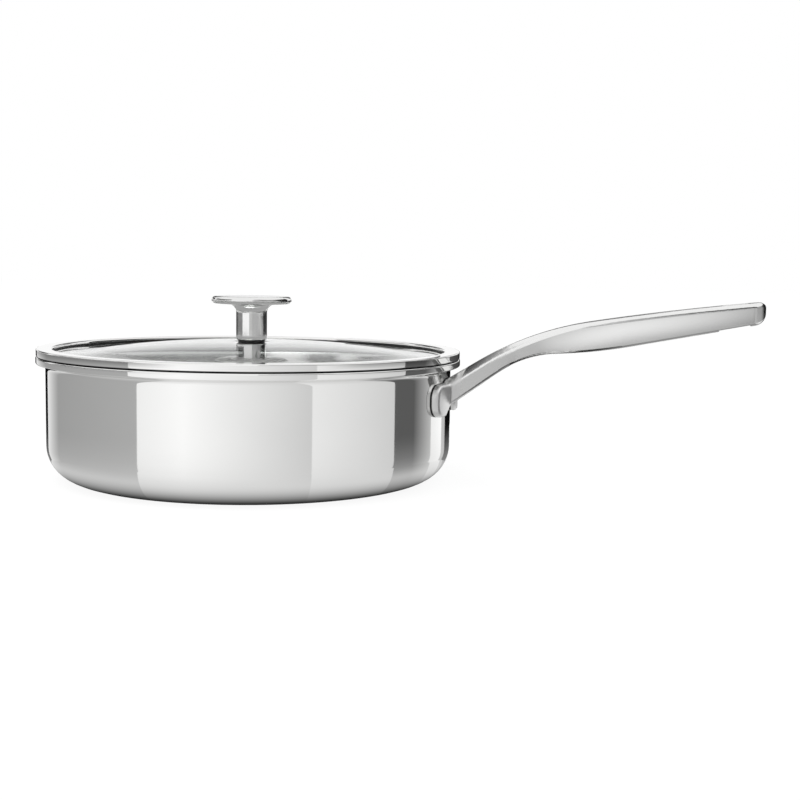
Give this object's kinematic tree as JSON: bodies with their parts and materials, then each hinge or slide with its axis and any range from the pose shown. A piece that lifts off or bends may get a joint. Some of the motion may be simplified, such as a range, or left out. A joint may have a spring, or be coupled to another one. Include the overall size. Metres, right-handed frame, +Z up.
{
  "type": "saute pan with lid",
  "caption": "Straight-sided clad steel saute pan with a rolled pouring lip, a long rising cast handle and a lift-off domed glass lid with a steel ring and disc knob.",
  "frame": {"origin": "centre of the pan's flat base, on the hob", "axes": "+Z up along the pan's axis, +X along the handle from the pan's axis"},
  "size_m": [0.4318, 0.2562, 0.1128],
  "materials": {
    "polished_steel": "mirror polished stainless steel",
    "liner_steel": "brushed stainless steel",
    "satin_steel": "satin cast stainless steel",
    "core_aluminium": "bonded sheet, unseen",
    "dark_seal": "matt silicone",
    "clear_glass": "clear tempered glass"
  },
  "bodies": {
    "pan": {"outer_ply": "polished_steel", "core_ply": "core_aluminium", "inner_ply": "liner_steel", "handle": "satin_steel", "handle_rivets": "liner_steel"},
    "lid": {"lid_ring": "polished_steel", "ring_seal": "dark_seal", "lid_glass": "clear_glass", "knob": "satin_steel", "knob_gasket": "dark_seal", "screw_pad": "dark_seal", "screw_washer": "liner_steel", "knob_screw": "liner_steel"}
  },
  "joints": [
    {"name": "lid_lift", "type": "slide", "parent": "pan", "child": "lid", "axis": [0, 0, 1], "range_m": [0, 0.15]}
  ]
}
